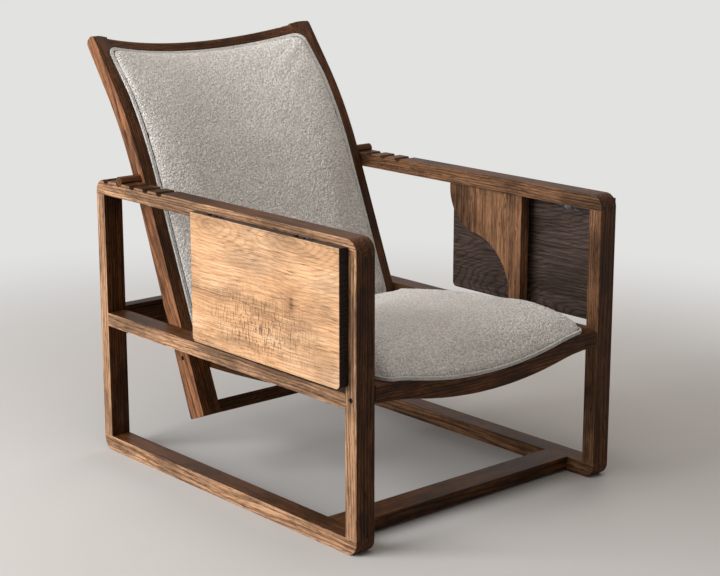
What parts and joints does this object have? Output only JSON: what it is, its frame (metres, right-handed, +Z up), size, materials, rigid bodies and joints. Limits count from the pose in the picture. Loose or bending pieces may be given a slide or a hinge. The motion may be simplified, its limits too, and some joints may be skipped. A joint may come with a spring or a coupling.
{
  "type": "reclining armchair with side tables",
  "caption": "Wooden reclining armchair: pivoted seat, bent-back pad frame resting in arm notches, hanging table leaves on swing brackets.",
  "frame": {"origin": "on the floor, at the middle of the whole chair's outline seen from above", "axes": "+X to the right of someone looking at the front, +Y towards the back, +Z up; the front faces -Y"},
  "size_m": [0.692, 0.922, 0.8312],
  "materials": {
    "oak": "satin",
    "leaf_oak": "satin",
    "bracket_oak": "satin",
    "dowel_oak": "satin",
    "steel": "satin",
    "boucle": "matte",
    "canvas": "matte"
  },
  "bodies": {
    "frame": {"front_leg_left": "oak", "front_leg_right": "oak", "rear_leg_left": "oak", "rear_leg_right": "oak", "arm_rail_left": "oak", "arm_rail_right": "oak", "mid_rail_left": "oak", "mid_rail_right": "oak", "floor_runner_left": "oak", "floor_runner_right": "oak", "front_stretcher": "oak", "rear_cross_rail": "oak", "seat_pivot_pins": "dowel_oak", "seat_pivot_washers": "steel", "hinge_arm_plate_front_left": "steel", "hinge_arm_plate_front_right": "steel", "hinge_arm_plate_rear_left": "steel", "hinge_arm_plate_rear_right": "steel", "hinge_pin_front_left": "steel", "hinge_pin_front_right": "steel", "hinge_pin_rear_left": "steel", "hinge_pin_rear_right": "steel", "arm_plate_screws_left": "steel", "arm_plate_screws_right": "steel", "bracket_pintles_left": "dowel_oak", "bracket_pintles_right": "dowel_oak"},
    "seat": {"seat_front_rail": "oak", "seat_side_rail_left": "oak", "seat_side_rail_right": "oak", "seat_rear_rail": "oak", "seat_deck": "canvas", "seat_cushion": "boucle"},
    "back": {"back_stile_left": "oak", "back_stile_right": "oak", "back_top_rail": "oak", "back_lumbar_rail": "oak", "back_bottom_rail": "oak", "notch_peg_left": "dowel_oak", "notch_peg_right": "dowel_oak", "back_lining": "canvas", "back_pad": "boucle", "back_pivot_pins": "dowel_oak", "back_pivot_washers": "steel"},
    "leaf_left": {"table_leaf_left": "leaf_oak", "hinge_leaf_plate_front_left": "steel", "hinge_leaf_plate_rear_left": "steel", "leaf_plate_screws_left": "steel"},
    "bracket_left": {"leaf_bracket_left": "bracket_oak"},
    "leaf_right": {"table_leaf_right": "leaf_oak", "hinge_leaf_plate_front_right": "steel", "hinge_leaf_plate_rear_right": "steel", "leaf_plate_screws_right": "steel"},
    "bracket_right": {"leaf_bracket_right": "bracket_oak"}
  },
  "joints": [
    {"name": "seat_lift", "type": "hinge", "parent": "frame", "child": "seat", "pos_m": [0, -0.44653, 0.281], "axis": [1, 0, 0], "range_deg": [0, 5.5]},
    {"name": "back_rise", "type": "hinge", "parent": "seat", "child": "back", "pos_m": [0, 0.1129, 0.22678], "axis": [1, 0, 0], "range_deg": [-5.5, 0]},
    {"name": "leaf_left_raise", "type": "hinge", "parent": "frame", "child": "leaf_left", "pos_m": [-0.336, -0.2, 0.5405], "axis": [0, 1, 0], "range_deg": [0, 90]},
    {"name": "bracket_left_swing", "type": "hinge", "parent": "frame", "child": "bracket_left", "pos_m": [-0.304, -0.23403, 0.41], "axis": [0, 0, 1], "range_deg": [-90, 3]},
    {"name": "leaf_right_raise", "type": "hinge", "parent": "frame", "child": "leaf_right", "pos_m": [0.336, -0.2, 0.5405], "axis": [0, -1, 0], "range_deg": [0, 90]},
    {"name": "bracket_right_swing", "type": "hinge", "parent": "frame", "child": "bracket_right", "pos_m": [0.304, -0.23403, 0.41], "axis": [0, 0, -1], "range_deg": [-90, 3]}
  ],
  "couplings": [
    {"joint": "back_rise", "follows": "seat_lift", "ratio": -1}
  ]
}
